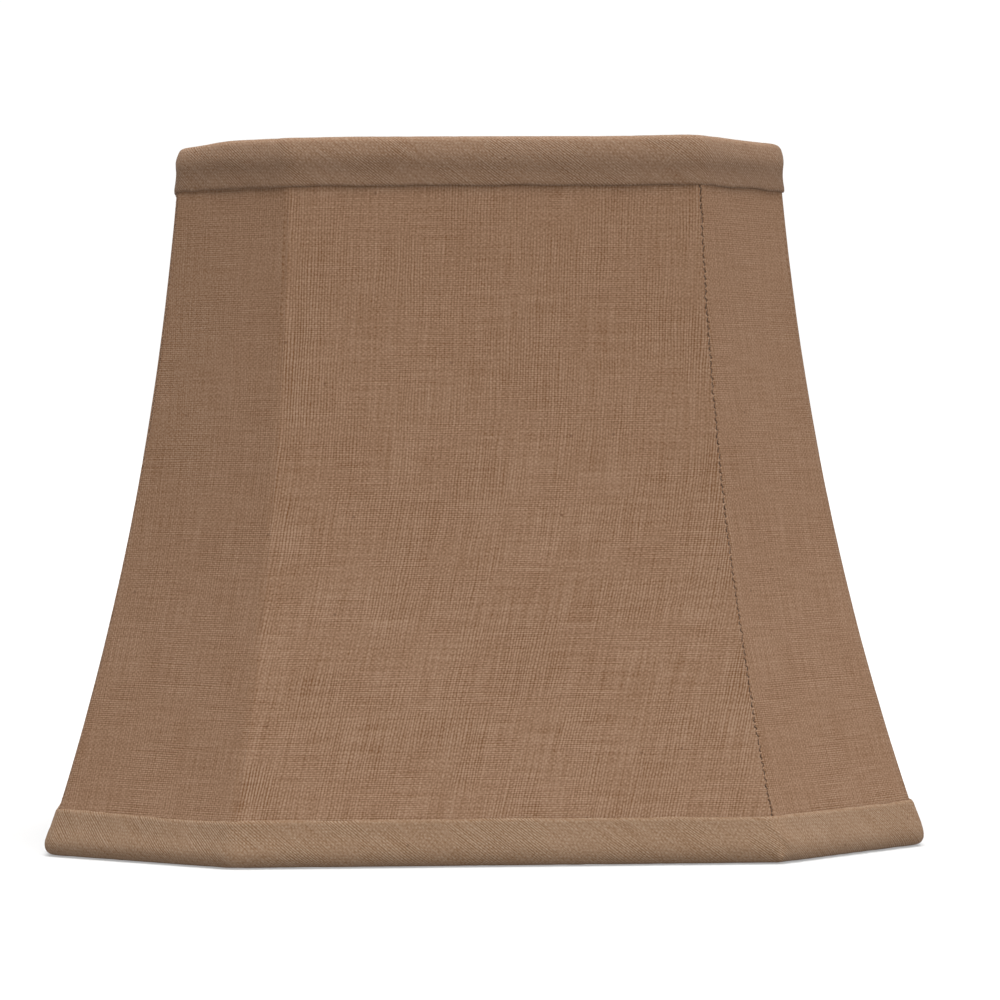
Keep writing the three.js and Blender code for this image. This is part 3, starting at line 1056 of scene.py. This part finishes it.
def make_arms():
    """Smooth wires with a flattened inner end, spot-welded under the washer."""
    under = washer_low.z - 0.75 * ARM_RADIUS
    level = ARM_BOTTOM + ARM_RADIUS
    end = ARM_TOP - ARM_RADIUS
    for number in range(1, 5):
        angle = facing(number - 1) - math.pi / 4
        strand = Strands()
        points, sizes = [], []
        for distance in even(60, ARM_END, ARM_REACH + 0.25 * MM):
            flat = within((FLAT_END - distance) / FLAT_BLEND)
            climb = within((distance - CLIMB_START) / (ARM_REACH - CLIMB_START))
            rise = climb**1.15 * (1 + 0.10 * (1 - climb))
            z = level + (under - level) * flat + (end - level) * rise
            place = polar(angle, distance)
            points.append(Vector((place.x, place.y, z)))
            sizes.append((ARM_RADIUS * (1 + 0.22 * flat), ARM_RADIUS * (1 - 0.28 * flat)))
        strand.add(points, sizes, 18)
        for side in (-1, 1):
            strand.add(*weld_bead(angle, side), 10)
        dress(strand.build(f"fitter_arm_{number}"), wire, "wire", f"arm_{number}")


WASHER_HOLE = 5.55 * MM
WASHER_ROUNDING = 0.4 * MM
WASHER_TURNS = 144
WELD_AT = 11.2 * MM
WELD_DEPTH = 0.28 * MM
WELD_WIDTH = 1.1 * MM


def washer_profile(outer, top, bottom):
    """Radius and height round the washer's section: top face, rounded rim, underside and burred hole."""
    hole, rounding = WASHER_HOLE, WASHER_ROUNDING
    profile = [(radius, top) for radius in even(30, hole + 0.25 * MM, outer - rounding)]
    for angle in even(6, math.pi / 2, 0):
        radius = outer - rounding + rounding * math.cos(angle)
        profile.append((radius, top - rounding + rounding * math.sin(angle)))
    profile.append((outer, top - (top - bottom) * 0.6))
    profile.append((outer - 0.1 * MM, bottom + 0.1 * MM))
    profile.append((outer - 0.25 * MM, bottom))
    profile += [(radius, bottom) for radius in even(30, outer - rounding, hole + 0.15 * MM)]
    profile.append((hole, bottom + 0.12 * MM))
    profile.append((hole, top - 0.2 * MM))
    profile.append((hole + 0.1 * MM, top - 0.05 * MM))
    return profile


def weld_dent(angle, radius):
    """Depth of the weld dimples at a place on the washer's top face."""
    dent = 0.0
    for corner in range(4):
        weld = polar(facing(corner) - math.pi / 4, WELD_AT)
        dent += WELD_DEPTH * bell((polar(angle, radius) - weld).length, WELD_WIDTH)
    return dent


def make_washer():
    """Pressed disc: rounded rims, a burred hole, and a weld dimple over each arm."""
    outer = (washer_high.x - washer_low.x) / 2
    top = washer_high.z
    profile = washer_profile(outer, top, washer_low.z)
    vertices, faces = [], []
    for radius, z in profile:
        for k in range(WASHER_TURNS):
            angle = 2 * math.pi * k / WASHER_TURNS
            height = z - weld_dent(angle, radius) if z == top else z
            vertices.append((radius * math.cos(angle), radius * math.sin(angle), height))
    for ring in range(len(profile)):
        here = ring * WASHER_TURNS
        after = (ring + 1) % len(profile) * WASHER_TURNS
        for k in range(WASHER_TURNS):
            turn = (k + 1) % WASHER_TURNS
            faces.append((here + k, after + k, after + turn, here + turn))
    mesh = bpy.data.meshes.new("fitter_washer")
    mesh.from_pydata(vertices, [], faces)
    mesh.shade_smooth()
    dress(link(bpy.data.objects.new("fitter_washer", mesh)), wire, "wire", "washer")


make_covers()
make_stitches()
make_liners()
make_trims()
make_neateners()
finish_frame()
make_arms()
make_washer()


# -------------------- stage, light and camera

FLOOR_HALF = 60.0
FLOOR_GAP = 0.3 * MM


def make_floor():
    """A plain pale floor that gives off a little light, and that is clear from below."""
    mesh = bpy.data.meshes.new("floor")
    around = ((-1, -1), (1, -1), (1, 1), (-1, 1))
    corners = [(x * FLOOR_HALF, y * FLOOR_HALF, BOTTOM - FLOOR_GAP) for x, y in around]
    mesh.from_pydata(corners, [], [(0, 1, 2, 3)])
    floor = link(bpy.data.objects.new("floor", mesh))
    g = Graph("pale floor")
    facing_down = g.add("NewGeometry").outputs["Backfacing"]
    clear = g.add("BsdfTransparent")
    blend = g.add("MixShader")
    g.plug(blend.inputs["Fac"], facing_down)
    g.tree.links.new(g.shader.outputs[0], blend.inputs[1])
    g.tree.links.new(clear.outputs[0], blend.inputs[2])
    g.tree.links.new(blend.outputs[0], g.tree.nodes["Material Output"].inputs["Surface"])
    pale = g.finish(Base_Color=(0.30, 0.30, 0.30, 1), Roughness=0.9, Specular_IOR_Level=0.0,
                    Emission_Color=(1, 1, 1, 1), Emission_Strength=0.36)
    mesh.materials.append(pale)


def make_area(name, place, size, power, target=(0, 0, 0.1)):
    light = bpy.data.lights.new(name, "AREA")
    light.shape = "SQUARE"
    light.size = size
    light.energy = power
    lamp = link(bpy.data.objects.new(name, light))
    lamp.location = place
    lamp.rotation_euler = (Vector(target) - lamp.location).to_track_quat("-Z", "Y").to_euler()


# The studio's strength, as smooth steps of how far a direction points up or to the right: its low and
# high, and the strength at each. The side walls dim the wall, and the overhead light is added.
WALL = (0.20, 0.32, 1.03, 0.03)
OVERHEAD = (0.62, 0.90, 0.0, 6.4)
LEFT_WALL = (-0.9, -0.3, 0.74, 1.0)
RIGHT_WALL = (0.3, 0.9, 1.0, 0.80)


def make_light():
    """A studio with a pale wall all round, a big soft light overhead and a soft key at the front right."""
    world = bpy.data.worlds.new("studio")
    world.use_nodes = True
    tree = world.node_tree
    backdrop = tree.nodes["Background"]
    place = tree.nodes.new("ShaderNodeTexCoord")
    split = tree.nodes.new("ShaderNodeSeparateXYZ")
    tree.links.new(place.outputs["Generated"], split.inputs[0])

    def joined(operation, first, second):
        node = tree.nodes.new("ShaderNodeMath")
        node.operation = operation
        tree.links.new(first, node.inputs[0])
        tree.links.new(second, node.inputs[1])
        return node.outputs[0]

    wall = smooth_band(tree, split.outputs["Z"], WALL)
    for bounds in (LEFT_WALL, RIGHT_WALL):
        wall = joined("MULTIPLY", wall, smooth_band(tree, split.outputs["X"], bounds))
    overhead = smooth_band(tree, split.outputs["Z"], OVERHEAD)
    tree.links.new(joined("ADD", wall, overhead), backdrop.inputs["Strength"])
    backdrop.inputs["Color"].default_value = (1, 1, 1, 1)
    bpy.context.scene.world = world
    make_area("key", (1.4, -2.1, 1.5), 1.2, 30)


# The camera as fitted to the photograph: place in metres, turn, tilt and roll in radians, lens in mm.
CAMERA_PLACE = (-0.0577, -1.3759, 0.1162)
CAMERA_TURN, CAMERA_TILT, CAMERA_ROLL = 0.0476, -0.0117, -0.0058
CAMERA_LENS = 162.45


def make_camera():
    data = bpy.data.cameras.new("camera")
    data.sensor_width = 36
    data.lens = CAMERA_LENS
    data.clip_start = 0.01
    data.clip_end = 200
    camera = link(bpy.data.objects.new("camera", data))
    camera.location = CAMERA_PLACE
    gaze = Vector((
        math.sin(CAMERA_TURN) * math.cos(CAMERA_TILT),
        math.cos(CAMERA_TURN) * math.cos(CAMERA_TILT),
        math.sin(CAMERA_TILT),
    ))
    aim = gaze.to_track_quat("-Z", "Y") @ Quaternion((0, 0, 1), CAMERA_ROLL)
    camera.rotation_euler = aim.to_euler()
    bpy.context.scene.camera = camera


make_floor()
make_light()
make_camera()
bpy.context.scene.view_settings.view_transform = "Standard"
